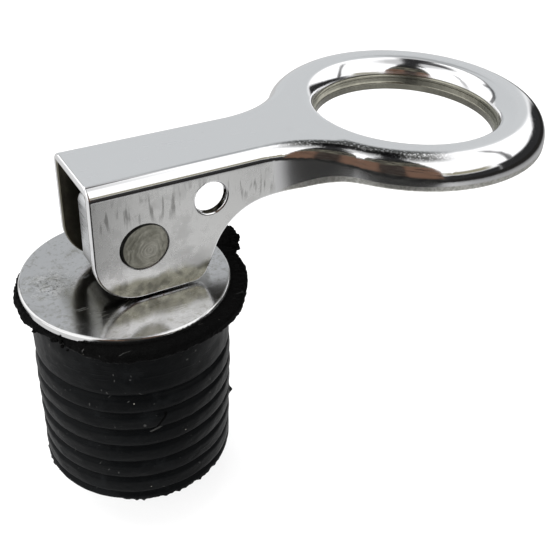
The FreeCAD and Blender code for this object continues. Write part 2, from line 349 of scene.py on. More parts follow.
def lever_steel():
    """Formed stainless: bright polished bends, satin web and cheeks, a duller cut edge, with painted
    reflections low on the cheeks and in a band at the throat, and painted shade inside the channel.
    """
    made, tree, surface, where = material("lever_steel_polished")
    place = where.outputs["Object"]
    x, y, z = place_mm(tree, where)
    facing = put(tree, "ShaderNodeSeparateXYZ", {}, {0: where.outputs["Normal"]})
    up = facing.outputs[2]
    side = calc(tree, "ABSOLUTE", facing.outputs[1])
    flat_top = ramp(tree, up, 0.985, 0.998)
    on_cheek = times(tree, ramp(tree, side, 0.985, 0.998), ramp(tree, x, 22, 27, 1.0, 0.0))
    satin = calc(tree, "MAXIMUM", flat_top, on_cheek)
    from_ring = distance_from(tree, x, y, (RING_CENTRE_X, 0.0))
    cut_level = ramp(tree, x, 16.0, 26.5, 12.9, 15.4)
    skirt = times(tree, ramp(tree, minus(tree, cut_level, z), 0.0, 0.15), ramp(tree, x, 17.0, 20.0))
    skirt = times(tree, skirt, ramp(tree, from_ring, 17.6, 18.2))
    collar = times(tree, ramp(tree, from_ring, 13.5, 13.0), ramp(tree, z, 16.52, 16.42))
    bend_rise = calc(tree, "MAXIMUM", minus(tree, z, HOLE_BEND_FOOT), 0.0001)
    bend_run = calc(tree, "MAXIMUM", minus(tree, HOLE_BEND_RADIUS, from_ring), 0.0)
    along_bend = calc(tree, "ARCTAN2", bend_rise, bend_run)
    lean = minus(tree, along_bend, over(tree, calc(tree, "POWER", along_bend, 2.0), math.pi))
    lean = times(tree, lean, -HOLE_WALL_LEAN * HOLE_BEND)
    from_edge = minus(tree, distance_from(tree, x, calc(tree, "ABSOLUTE", y), THROAT_MIDDLE), THROAT_RADIUS)
    in_throat = ramp(tree, x, 25.0, 27.0, 1.0, 0.0)
    from_rim = times(tree, minus(tree, RING_OUTER_RADIUS, from_ring), minus(tree, 1.0, in_throat))
    from_edge = plus(tree, times(tree, from_edge, in_throat), from_rim)
    round_here = ramp(tree, x, 15.5, 36.0, 1.9, 3.1)
    over_round = over(tree, from_edge, round_here)
    on_bend = between(tree, over_round, 0.46, 0.92, 0.10)
    # A band along the bend at the throat, on the near side only, where a dark reflection is painted; the
    # peel bump is also stronger in it.
    painted_reflection_band = times(tree, on_bend, between(tree, x, 19.0, 35.0, 2.5))
    painted_reflection_band = times(tree, painted_reflection_band, ramp(tree, y, -3.0, -5.0))
    wall = times(tree, ramp(tree, calc(tree, "ABSOLUTE", up), 0.30, 0.08), ramp(tree, x, 14, 17))
    # The inner faces of the channel, which are rougher and carry painted shade.
    inside = times(tree, ramp(tree, calc(tree, "ABSOLUTE", y), 5.1, 4.9), ramp(tree, z, 17.8, 17.6))
    inside = times(tree, inside, ramp(tree, x, 24, 20))
    grain = use(tree, GRAIN, {"Place": place, "Along": (1500, 1500, 120), "Scale": 1.0})["Grain"]
    drawn = use(tree, GRAIN, {"Place": place, "Along": (260, 2400, 2400), "Scale": 1.0})["Grain"]
    scratch = use(tree, SCRATCHES, {"Place": place, "Scale": 1.0, "Amount": 0.5})["Mask"]
    smudge = use(tree, SMUDGES, {"Place": place, "Scale": 240.0, "Cover": 0.35})["Mask"]
    speck = use(tree, SPECKS, {"Place": place, "Scale": 420.0, "Size": 0.07})["Mask"]
    streak_place = stretched(tree, place, (0, 0, 0), (1700, 1700, 260), (3, 1, 0))
    streak = noise_at(tree, streak_place, 1.0, 3.0, 0.5)
    under_bend = between(tree, z, 13.2, 16.4, 1.2)
    dark_streak = times(tree, times(tree, ramp(tree, streak, 0.51, 0.64), under_bend), on_cheek)
    cloud = noise_at(tree, place, 420.0, 5.0, 0.65)
    mottle = times(tree, ramp(tree, cloud, 0.42, 0.66), on_cheek)
    # Painted reflection: the cheeks turn olive-brown below a wavy level, standing in for the plate and
    # rubber seen in the satin steel.
    wavy = plus(tree, z, times(tree, noise_at(tree, place, 260.0, 3.0), 2.4))
    painted_low_reflection = times(tree, ramp(tree, wavy, 7.2, 6.0), on_cheek)
    rust = times(tree, ramp(tree, z, 3.4, 2.9), ramp(tree, noise_at(tree, place, 2400.0, 2.0), 0.60, 0.68))
    tone = blend_colour(tree, on_cheek, (0.80, 0.80, 0.81, 1), (0.86, 0.86, 0.85, 1))
    tone = blend_colour(tree, times(tree, mottle, 0.16), tone, (0.45, 0.45, 0.44, 1))
    tone = blend_colour(tree, times(tree, smudge, 0.08), tone, grey(0.42))
    tone = blend_colour(tree, times(tree, dark_streak, 0.6), tone, (0.19, 0.19, 0.18, 1))
    # Painted reflection: near-black speckles in that band stand in for the dark room seen in the bend.
    painted_dark_reflection = times(tree, painted_reflection_band, ramp(tree, noise_at(tree, place, 3600.0, 3.0, 0.7), 0.28, 0.52))
    tone = blend_colour(tree, times(tree, painted_dark_reflection, 0.92), tone, (0.045, 0.047, 0.042, 1))
    low_reflection_tone = blend_colour(tree, ramp(tree, noise_at(tree, place, 700.0, 4.0), 0.35, 0.6),
                            (0.15, 0.145, 0.105, 1), (0.36, 0.35, 0.27, 1))
    tone = blend_colour(tree, times(tree, painted_low_reflection, 0.9), tone, low_reflection_tone)
    tone = blend_colour(tree, times(tree, rust, 0.7), tone, (0.35, 0.16, 0.10, 1))
    tone = blend_colour(tree, times(tree, speck, 0.8), tone, grey(0.08))
    dull = blend_colour(tree, ramp(tree, noise_at(tree, place, 1900.0, 4.0, 0.7), 0.38, 0.62),
                        (0.50, 0.495, 0.45, 1), (0.76, 0.75, 0.71, 1))
    tone = blend_colour(tree, times(tree, skirt, 0.9), tone, dull)
    collar_tone = blend_colour(tree, cloud, (0.13, 0.125, 0.10, 1), (0.46, 0.45, 0.38, 1))
    tone = blend_colour(tree, collar, tone, collar_tone)
    # Painted shade: the inside of the channel is darkened to near black and dark olive.
    inside_shade_tone = blend_colour(tree, cloud, (0.07, 0.065, 0.05, 1), (0.24, 0.225, 0.18, 1))
    tone = blend_colour(tree, inside, tone, inside_shade_tone)
    feed(tree, surface.inputs["Base Color"], tone)
    surface.inputs["Metallic"].default_value = 1.0
    rough = ramp(tree, satin, 0.0, 1.0, 0.085, 0.24)
    rough = plus(tree, rough, times(tree, smudge, 0.05))
    rough = plus(tree, rough, times(tree, scratch, 0.04))
    rough = plus(tree, rough, times(tree, mottle, 0.10))
    rough = calc(tree, "MAXIMUM", rough, times(tree, wall, 0.19))
    rough = calc(tree, "MAXIMUM", rough, times(tree, skirt, 0.38))
    rough = calc(tree, "MAXIMUM", rough, times(tree, collar, 0.24))
    rough = calc(tree, "MAXIMUM", rough, times(tree, inside, 0.32))
    feed(tree, surface.inputs["Roughness"], rough)
    lines = times(tree, times(tree, grain, on_cheek), 0.5)
    lines = plus(tree, lines, times(tree, times(tree, drawn, flat_top), 0.25))
    lines = minus(tree, lines, times(tree, scratch, 0.12))
    peel = times(tree, noise_at(tree, place, 5200.0, 2.0), minus(tree, 1.0, satin))
    peel = times(tree, peel, ramp(tree, painted_reflection_band, 0, 1, 0.30, 1.2))
    lines = times(tree, plus(tree, lines, peel), 0.004)
    bump(tree, surface, plus(tree, lines, lean), MM)
    return made


def pin_steel():
    """The turned pin: rings of the tool on its face, a dull olive cast, a painted highlight off its middle
    and a painted crescent of shade at its rim.
    """
    made, tree, surface, where = material("pin_steel_turned")
    place = where.outputs["Object"]
    x, y, z = place_mm(tree, where)
    radius = distance_from(tree, x, z, (0.0, PIN_LEVEL))
    from_swirl = distance_from(tree, x, z, (0.6, PIN_LEVEL - 0.6))
    sway = times(tree, noise_at(tree, place, 420.0, 3.0), 2.1)
    rings = calc(tree, "SINE", times(tree, plus(tree, from_swirl, sway), 11.0))
    wobble = noise_at(tree, place, 900.0, 3.0)
    smudge = use(tree, SMUDGES, {"Place": place, "Scale": 500.0, "Cover": 0.6})["Mask"]
    rim = ramp(tree, radius, 2.95, 3.02)
    cloud = noise_at(tree, place, 600.0, 4.0, 0.6)
    tone = blend_colour(tree, ramp(tree, cloud, 0.35, 0.65), (0.52, 0.51, 0.44, 1), (0.30, 0.295, 0.245, 1))
    tone = blend_colour(tree, times(tree, smudge, 0.4), tone, (0.50, 0.49, 0.43, 1))
    # Painted highlight: the face is lighter round a point off its middle, with the tool rings showing
    # through.
    painted_highlight_arcs = times(tree, ramp(tree, from_swirl, 1.9, 0.3), ramp(tree, rings, -0.6, 0.6, 0.35, 1.0))
    tone = blend_colour(tree, times(tree, painted_highlight_arcs, 0.8), tone, (0.66, 0.65, 0.58, 1))
    tone = blend_colour(tree, times(tree, ramp(tree, rings, 0.3, 0.9), 0.22), tone, (0.10, 0.10, 0.08, 1))
    tone = blend_colour(tree, rim, tone, (0.60, 0.60, 0.56, 1))
    # Painted shade: a dark crescent at the rim, off centre, for the shadowed gap between the pin and its
    # hole.
    painted_gap_shade = ramp(tree, distance_from(tree, x, z, (0.30, PIN_LEVEL - 0.16)), 2.9, 3.05)
    tone = blend_colour(tree, painted_gap_shade, tone, (0.02, 0.02, 0.018, 1))
    feed(tree, surface.inputs["Base Color"], tone)
    surface.inputs["Metallic"].default_value = 1.0
    feed(tree, surface.inputs["Roughness"], ramp(tree, wobble, 0.3, 0.7, 0.32, 0.46))
    height = plus(tree, times(tree, rings, 0.5), times(tree, wobble, 0.4))
    bump(tree, surface, height, 0.012 * MM)
    return made


def satin_steel(name, tone_one, tone_two, rough_low, rough_high, along, dark_below=None):
    """Machined stainless: grain, smudges, fine scratches, and painted shade darkening it below a level if
    one is given.
    """
    made, tree, surface, where = material(name)
    place = where.outputs["Object"]
    grain = use(tree, GRAIN, {"Place": place, "Along": along, "Scale": 1.0})["Grain"]
    smudge = use(tree, SMUDGES, {"Place": place, "Scale": 350.0, "Cover": 0.5})["Mask"]
    scratch = use(tree, SCRATCHES, {"Place": place, "Scale": 1.0, "Amount": 0.7})["Mask"]
    tone = blend_colour(tree, smudge, tone_one, tone_two)
    tone = blend_colour(tree, times(tree, scratch, 0.3), tone, grey(0.25))
    if dark_below is not None:
        # Painted shade: darkened below the given level, with a smudged edge.
        x, y, z = place_mm(tree, where)
        painted_shade_field = plus(tree, z, times(tree, smudge, 1.2))
        painted_shade_share = ramp(tree, painted_shade_field, dark_below + 2.0, dark_below - 1.0)
        tone = blend_colour(tree, painted_shade_share, tone, (0.13, 0.128, 0.115, 1))
    feed(tree, surface.inputs["Base Color"], tone)
    surface.inputs["Metallic"].default_value = 1.0
    feed(tree, surface.inputs["Roughness"], ramp(tree, grain, 0.3, 0.7, rough_low, rough_high))
    bump(tree, surface, minus(tree, grain, times(tree, scratch, 0.5)), 0.006 * MM)
    return made


def plate_steel():
    """The bright disc: worn in a ring where the cam drags, scratched, with a burnished rim, and painted
    shade beside the lever's heel.
    """
    made, tree, surface, where = material("plate_steel_scuffed")
    place = where.outputs["Object"]
    x, y, z = place_mm(tree, where)
    radius = distance_from(tree, x, y, PLATE_CENTRE)
    from_axis = distance_from(tree, x, y)
    track = between(tree, from_axis, 8.2, 9.6, 0.5)
    rim = ramp(tree, radius, 12.95, 13.1)
    scratch = use(tree, SCRATCHES, {"Place": place, "Scale": 1.0, "Amount": 0.9})["Mask"]
    smudge = use(tree, SMUDGES, {"Place": place, "Scale": 190.0, "Cover": 0.5})["Mask"]
    pit = ramp(tree, noise_at(tree, place, 2600.0, 3.0), 0.52, 0.62)
    patch = times(tree, ramp(tree, distance_from(tree, x, y, PLATE_PATCH), 3.4, 1.0), pit)
    worn = times(tree, track, ramp(tree, noise_at(tree, place, 300.0, 4.0), 0.40, 0.60))
    tone = blend_colour(tree, times(tree, smudge, 0.45), (0.56, 0.56, 0.57, 1), (0.38, 0.375, 0.35, 1))
    tone = blend_colour(tree, times(tree, worn, 0.35), tone, (0.30, 0.295, 0.27, 1))
    near_patch = ramp(tree, distance_from(tree, x, y, PLATE_PATCH), 4.2, 1.6)
    scuff = times(tree, near_patch, ramp(tree, noise_at(tree, place, 900.0, 4.0, 0.7), 0.47, 0.60))
    tone = blend_colour(tree, times(tree, scuff, 0.55), tone, grey(0.80))
    tone = blend_colour(tree, times(tree, patch, 0.7), tone, grey(0.12))
    # Painted shade: the plate darkens in a soft patch beside and under the lever's heel.
    wide, deep = SHADE_REACH
    under_heel = distance_from(tree, over(tree, x, wide), over(tree, y, deep),
                               (PLATE_SHADE_MIDDLE[0] / wide, PLATE_SHADE_MIDDLE[1] / deep))
    painted_shade_field = plus(tree, ramp(tree, under_heel, 1.35, 0.4), times(tree, smudge, 0.15))
    painted_shade_field = calc(tree, "MINIMUM", painted_shade_field, 1.0)
    tone = blend_colour(tree, times(tree, painted_shade_field, 0.78), tone, (0.15, 0.15, 0.125, 1))
    dirt = ramp(tree, noise_at(tree, place, 1500.0, 4.0, 0.7), 0.5, 0.66)
    tone = blend_colour(tree, times(tree, dirt, 0.42), tone, (0.24, 0.235, 0.19, 1))
    tone = blend_colour(tree, rim, tone, grey(0.66))
    feed(tree, surface.inputs["Base Color"], tone)
    surface.inputs["Metallic"].default_value = 1.0
    rough = ramp(tree, smudge, 0.0, 1.0, 0.15, 0.24)
    rough = plus(tree, rough, times(tree, worn, 0.08))
    rough = plus(tree, rough, times(tree, times(tree, track, scratch), 0.2))
    rough = plus(tree, rough, times(tree, calc(tree, "MAXIMUM", patch, scuff), 0.3))
    feed(tree, surface.inputs["Roughness"], rough)
    height = plus(tree, scratch, patch)
    bump(tree, surface, times(tree, height, -0.5), 0.006 * MM)
    return made


def stopper_rubber():
    """Matte black rubber with a soft sheen, dust in its texture and a few pale specks."""
    made, tree, surface, where = material("stopper_rubber_black")
    place = where.outputs["Object"]
    x, y, z = place_mm(tree, where)
    on_flange = ramp(tree, z, -0.3, 0.3)
    fine = noise_at(tree, place, 2600.0, 4.0, 0.7)
    smudge = use(tree, SMUDGES, {"Place": place, "Scale": 260.0, "Cover": 0.5})["Mask"]
    speck = use(tree, SPECKS, {"Place": place, "Scale": 620.0, "Size": 0.08})["Mask"]
    dust = use(tree, SPECKS, {"Place": place, "Scale": 1700.0, "Size": 0.10})["Mask"]
    turn = calc(tree, "DEGREES", calc(tree, "ARCTAN2", y, x))
    crack_line = ramp(tree, z, CRACK_TOP[1], CRACK_FOOT[1], CRACK_TOP[0], CRACK_FOOT[0])
    wander = times(tree, minus(tree, noise_at(tree, place, 900.0, 2.0), 0.5), 3.2)
    off_crack = calc(tree, "ABSOLUTE", minus(tree, plus(tree, turn, wander), crack_line))
    crack = times(tree, ramp(tree, off_crack, 1.0, 0.5), between(tree, z, CRACK_FOOT[1], CRACK_TOP[1], 0.2))
    tone = blend_colour(tree, smudge, (0.0020, 0.0023, 0.0026, 1), (0.0050, 0.0056, 0.0062, 1))
    tone = blend_colour(tree, times(tree, dust, 0.10), tone, (0.30, 0.30, 0.29, 1))
    tone = blend_colour(tree, crack, tone, (0.0004, 0.0004, 0.0004, 1))
    # Painted shade: the flange, under the plate's rim, is darkened further.
    tone = blend_colour(tree, on_flange, tone, (0.0012, 0.0012, 0.0012, 1))
    thread = stretched(tree, place, (0.2, 0.5, 0.3), (140, 3800, 900), (1, 2, 3))
    thread = ramp(tree, noise_at(tree, thread, 1.0, 1.0), 0.735, 0.76)
    tone = blend_colour(tree, times(tree, thread, 0.25), tone, (0.12, 0.12, 0.115, 1))
    tone = blend_colour(tree, times(tree, speck, 0.5), tone, (0.34, 0.33, 0.28, 1))
    feed(tree, surface.inputs["Base Color"], tone)
    rough = ramp(tree, smudge, 0.0, 1.0, 0.40, 0.54)
    rough = plus(tree, rough, times(tree, calc(tree, "MAXIMUM", on_flange, crack), 0.4))
    feed(tree, surface.inputs["Roughness"], rough)
    surface.inputs["Specular IOR Level"].default_value = 0.06
    hair_place = stretched(tree, place, (0, 0, 0), (180, 180, 2600), (0, 0, 0))
    hair = ramp(tree, noise_at(tree, hair_place, 1.0, 2.0), 0.62, 0.70)
    torn = times(tree, noise_at(tree, place, 1500.0, 4.0, 0.7), times(tree, on_flange, 9.0))
    height = minus(tree, plus(tree, fine, times(tree, hair, 0.5)), times(tree, crack, 0.8))
    bump(tree, surface, plus(tree, height, torn), 0.03 * MM)
    return made


def insert_nylon():
    """Off-white nylon with faint mottling."""
    made, tree, surface, where = material("insert_nylon_white")
    place = where.outputs["Object"]
    cloud = use(tree, SMUDGES, {"Place": place, "Scale": 500.0, "Cover": 0.5})["Mask"]
    feed(tree, surface.inputs["Base Color"],
         blend_colour(tree, cloud, (0.80, 0.80, 0.76, 1), (0.70, 0.69, 0.63, 1)))
    feed(tree, surface.inputs["Roughness"], ramp(tree, cloud, 0.0, 1.0, 0.38, 0.5))
    surface.inputs["Subsurface Weight"].default_value = 0.2
    surface.inputs["Subsurface Radius"].default_value = (MM, MM, MM)
    bump(tree, surface, noise_at(tree, place, 2500.0, 3.0), 0.01 * MM)
    return made


def dress(node, finish):
    """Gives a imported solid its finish."""
    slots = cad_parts[node].material_slots
    for slot in slots:
        slot.material = finish


def new_piece(name, mesh, body, finish):
    """Makes an object from a finished bmesh, at the origin, riding on a body."""
    data = bpy.data.meshes.new(name)
    mesh.to_mesh(data)
    mesh.free()
    piece = bpy.data.objects.new(name, data)
    bpy.context.scene.collection.objects.link(piece)
    data.materials.append(finish)
    for face in data.polygons:
        face.use_smooth = True
    if body:
        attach(piece, body)
    return piece


def tumbled(node, name, body, finish, edge_round, keep_sharp):
    """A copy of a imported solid, merged, with its sharp edges rounded as by tumbling."""
    mesh = bmesh.new()
    mesh.from_mesh(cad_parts[node].data)
    bmesh.ops.remove_doubles(mesh, verts=mesh.verts, dist=MERGE * MM)
    bmesh.ops.dissolve_limit(mesh, angle_limit=math.radians(FLAT_ANGLE), use_dissolve_boundaries=False,
                             verts=mesh.verts[:], edges=mesh.edges[:])
    bmesh.ops.join_triangles(mesh, faces=[face for face in mesh.faces if len(face.verts) == 3],
                             angle_face_threshold=math.radians(10), angle_shape_threshold=math.radians(60))
    sharp = []
    for edge in mesh.edges:
        middle = (edge.verts[0].co + edge.verts[1].co) / (2 * MM)
        if edge.calc_face_angle(0) > math.radians(SHARP_ANGLE) and not keep_sharp(middle):
            sharp.append(edge)
    bmesh.ops.bevel(mesh, geom=sharp, affect="EDGES", offset=edge_round * MM, segments=3, profile=0.5,
                    material=-1, loop_slide=True)
    piece = new_piece(name, mesh, body, finish)
    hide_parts(node)
    flat = piece.modifiers.new("flat_faces", "WEIGHTED_NORMAL")
    flat.weight = 50
    flat.keep_sharp = True
    return piece


def noise_mm(x, y, z, scale, seed):
    """Smooth noise from about -1 to 1, whose lumps are scale millimetres across."""
    return noise.noise(Vector((x / scale + seed, y / scale - seed, z / scale + 2 * seed)))


def rib_offset(z):
    """How far the stopper's side lies under its full radius at a level."""
    pitch = (FIRST_GROOVE - LAST_GROOVE) / RIB_COUNT
    if z > FIRST_GROOVE + pitch / 2:
        return 0.0
    if z < LAST_GROOVE - pitch / 2:
        return 0.0
    along = (FIRST_GROOVE - z) / pitch
    near = abs(along - round(along))
    if z > FIRST_GROOVE and near > 0.2:
        return 0.0
    return RIB_DEPTH * math.exp(-(near / 0.1) ** 2) + 0.12 * (1 - 2 * near) ** 2


def rim_offset(angle):
    """How far the torn flange stands past its plain round edge at an angle, in degrees."""
    turn = math.radians(angle)
    wave = 0.28 * noise_mm(math.cos(turn), math.sin(turn), 0, 0.45, 3.1)
    wave += 0.20 * noise_mm(math.cos(turn), math.sin(turn), 0, 0.12, 8.7)
    wave += 0.07 * noise_mm(math.cos(turn), math.sin(turn), 0, 0.04, 1.9)
    bite = -0.9 * math.exp(-((angle + 152) / 14) ** 2)
    bulge = 0.4 * math.exp(-((angle + 112) / 16) ** 2)
    return wave + bite + bulge + 1.9 * flap(angle)


def flap(angle):
    """1 at the torn flap that stands up beside the lever's heel, falling to 0 away from it."""
    return math.exp(-((angle - FLAP_ANGLE) / FLAP_HALF_WIDTH) ** 2)


def stopper():
    """The stopper, spun from its section, then torn at the flange and ragged at the foot."""
    section = [(BORE_RADIUS, BODY_FOOT), (11.8, BODY_FOOT), (12.45, BODY_FOOT - 0.12),
               (BODY_RADIUS, BODY_FOOT + 0.3), (BODY_RADIUS, LAST_GROOVE), (BODY_RADIUS, FIRST_GROOVE),
               (BODY_RADIUS, -0.35), (BODY_RADIUS + 0.3, 0.0), (FLANGE_RADIUS - 0.25, 0.05),
               (FLANGE_RADIUS, 0.4), (FLANGE_RADIUS, 1.1), (FLANGE_RADIUS - 0.3, FLANGE_TOP),
               (13.0, FLANGE_TOP), (BORE_RADIUS, FLANGE_TOP)]
    mesh = bmesh.new()
    verts = [mesh.verts.new((radius, 0, level)) for radius, level in section]
    edges = [mesh.edges.new((verts[i - 1], verts[i])) for i in range(len(verts))]
    cuts = {4: 3, 5: 72, 6: 16, 8: 4, 9: 2, 10: 4, 11: 2, 12: 8}
    for number, count in cuts.items():
        bmesh.ops.subdivide_edges(mesh, edges=[edges[number]], cuts=count)
    bmesh.ops.spin(mesh, geom=mesh.verts[:] + mesh.edges[:], cent=(0, 0, 0), axis=(0, 0, 1),
                   angle=2 * math.pi, steps=SPIN_STEPS, use_merge=True)
    bmesh.ops.remove_doubles(mesh, verts=mesh.verts, dist=0.0005)
    for vert in mesh.verts:
        x, y, z = vert.co
        radius = math.hypot(x, y)
        angle = math.degrees(math.atan2(y, x))
        if radius < BORE_RADIUS + 0.5:
            continue
        if radius > BODY_RADIUS - 0.05 and z < -0.2:
            radius -= rib_offset(z)
            radius += RIB_SPREAD * max(0.0, min(1.0, (FIRST_GROOVE - z) / 2.0))
            radius += 0.05 * noise_mm(x, y, z, 1.6, 5.0) + 0.06 * noise_mm(x, y, z * 3, 5.0, 1.0)
            radius += 0.03 * noise_mm(x / 3, y / 3, z, 0.35, 8.0)
            radius += 0.4 * math.exp(-((angle - NUB[0]) / 1.6) ** 2 - ((z - NUB[1]) / 0.4) ** 2)
        if z < BODY_FOOT + 0.45 and radius > 12.0:
            worn = max(noise_mm(x, y, 0, 5.0, 2.0), 0.0) + 1.4 * math.exp(-((angle + 147) / 15) ** 2)
            radius += 0.22 * noise_mm(x, y, 0, 0.7, 4.0) + 0.1 * noise_mm(x, y, 0, 0.25, 3.0) - 0.45 * worn
            z += 0.20 * noise_mm(x, y, 0, 0.6, 9.0) + 0.12 * noise_mm(x, y, 0, 0.25, 6.0) + 0.3 * worn
        outer = max(0.0, min(1.0, (radius - BODY_RADIUS - 0.2) / 1.6))
        if z > -0.1 and outer > 0:
            radius += rim_offset(angle) * outer
            lump = abs(noise_mm(x, y, z, 0.9, 2.0)) * 0.3 + noise_mm(x, y, z, 0.35, 6.0) * 0.2 - 0.2
            z += (lump + 0.9 * flap(angle)) * outer
            radius += noise_mm(x, y, z, 0.45, 7.0) * (0.08 + 0.12 * flap(angle)) * outer
        turn = math.radians(angle)
        shift = FLANGE_OFF_CENTRE * outer
        vert.co = (max(radius * math.cos(turn) + shift, LEFT_END), radius * math.sin(turn), z)
    bmesh.ops.scale(mesh, vec=(MM, MM, MM), verts=mesh.verts)
    bmesh.ops.recalc_face_normals(mesh, faces=mesh.faces)
    piece = new_piece("stopper_body", mesh, None, RUBBER)
    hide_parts("rubber_stopper")
    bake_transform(piece)
    return piece


def crumbs():
    """Torn crumbs of rubber that cling to the flange's edge."""
    chance = random.Random(11)
    mesh = bmesh.new()
    spots = []
    for number in range(26):
        along = number / 25
        rise = math.sin(math.pi * along)
        spots.append((31 - 30 * along, 14.7 + 1.75 * rise + chance.uniform(-0.12, 0.12),
                      2.0 - 0.9 * along + chance.uniform(-0.12, 0.12), 0.62 + 0.28 * rise))
    for number in range(34):
        spots.append((chance.uniform(-180, 180), chance.uniform(14.0, 14.5), chance.uniform(0.2, 0.9),
                      chance.uniform(0.15, 0.32)))
    for angle, radius, level, size in spots:
        turn = math.radians(angle)
        made = bmesh.ops.create_icosphere(mesh, subdivisions=3, radius=size)["verts"]
        tilt = Matrix.Rotation(chance.uniform(0, 3), 3, "Z") @ Matrix.Rotation(chance.uniform(0, 3), 3, "X")
        stretch = Vector((chance.uniform(0.8, 1.1), chance.uniform(0.7, 0.9), chance.uniform(0.6, 0.9)))
        seed = chance.uniform(0, 50)
        middle = Vector((radius * math.cos(turn) + FLANGE_OFF_CENTRE, radius * math.sin(turn), level))
        for vert in made:
            point = vert.co.copy()
            lump = 1 + 0.3 * noise_mm(point.x, point.y, point.z, size * 0.8, seed)
            lump += 0.12 * noise_mm(point.x, point.y, point.z, size * 0.3, seed)
            point = tilt @ Vector(point * lump * stretch)
            vert.co = point + middle
            vert.co.x = max(vert.co.x, LEFT_END)
    bmesh.ops.scale(mesh, vec=(MM, MM, MM), verts=mesh.verts)
    bmesh.ops.recalc_face_normals(mesh, faces=mesh.faces)
    return new_piece("stopper_crumbs", mesh, "plug", RUBBER)


RUBBER = stopper_rubber()


def keeps_crisp(point):
    """True at the finger hole's drawn collar and at the pivot holes, whose edges stay crisp."""
    at_collar = math.hypot(point.x - RING_CENTRE_X, point.y) < COLLAR_REACH
    at_pivot = math.hypot(point.x, point.z - PIN_LEVEL) < PIVOT_REACH
    return at_collar or at_pivot


def aim_camera():
    """The camera at the photograph's place and angle."""
    lens = bpy.data.cameras.new("photo_camera")
    lens.lens = CAMERA_LENS
    lens.clip_start = 1 * MM
    lens.clip_end = 20.0
    camera = bpy.data.objects.new("photo_camera", lens)
    bpy.context.scene.collection.objects.link(camera)
    turn = Matrix.Rotation(math.radians(CAMERA_HEADING), 4, "Z")
    tilt = Matrix.Rotation(math.radians(90 - CAMERA_HEIGHT_ANGLE), 4, "X")
    roll = Matrix.Rotation(math.radians(CAMERA_ROLL), 4, "Z")
    camera.matrix_world = Matrix.Translation(CAMERA_PLACE) @ turn @ tilt @ roll
    bpy.context.scene.camera = camera


def studio_floor():
    """A plain pale floor. Seen in the steel, it has the dark side of the room on it."""
    mesh = bmesh.new()
    bmesh.ops.create_grid(mesh, x_segments=1, y_segments=1, size=STAGE_HALF)
    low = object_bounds()[0][2]
    bmesh.ops.translate(mesh, vec=(0, 0, low), verts=mesh.verts)
    data = bpy.data.meshes.new("floor")
    mesh.to_mesh(data)
    mesh.free()
    floor = bpy.data.objects.new("floor", data)
    bpy.context.scene.collection.objects.link(floor)
    made = bpy.data.materials.new("floor_paper")
    made.use_nodes = True
    tree = made.node_tree
    tree.nodes.clear()
    where = tree.nodes.new("ShaderNodeTexCoord")
    x, y, z = place_mm(tree, where)
    paper = put(tree, "ShaderNodeBsdfDiffuse", {}, {"Color": grey(0.93)})
    heading = calc(tree, "DEGREES", calc(tree, "ARCTAN2", y, x))
    reach = distance_from(tree, x, y)
    front = between(tree, heading, -100, 35, 6)
    shade = times(tree, front, ramp(tree, reach, 170, 300))
    middle = times(tree, between(tree, heading, -60, 22, 8), ramp(tree, reach, 60, 110))
    hand = ramp(tree, distance_from(tree, x, y, (-42.0, -112.0)), 84, 58)
    tone = blend_colour(tree, between(tree, heading, 22, 110, 8), grey(0.85), grey(0.62))
    tone = blend_colour(tree, between(tree, heading, -100, -50, 8), tone, grey(0.60))
    tone = blend_colour(tree, middle, tone, grey(0.42))
    tone = blend_colour(tree, calc(tree, "MAXIMUM", shade, hand), tone, (0.02, 0.019, 0.018, 1))
    seen_in_steel = put(tree, "ShaderNodeEmission", {}, {"Color": tone, "Strength": 1.0})
    ray = tree.nodes.new("ShaderNodeLightPath")
    glow = put(tree, "ShaderNodeEmission", {}, {"Color": grey(1.0), "Strength": 1.0})
    lit = put(tree, "ShaderNodeMixShader", {}, {0: FLOOR_GLOW})
    tree.links.new(paper.outputs[0], lit.inputs[1])
    tree.links.new(glow.outputs[0], lit.inputs[2])
    mixed = put(tree, "ShaderNodeMixShader", {}, {0: ray.outputs["Is Glossy Ray"]})
    tree.links.new(lit.outputs[0], mixed.inputs[1])
    tree.links.new(seen_in_steel.outputs[0], mixed.inputs[2])
    shown = tree.nodes.new("ShaderNodeOutputMaterial")
    tree.links.new(mixed.outputs[0], shown.inputs["Surface"])
    data.materials.append(made)


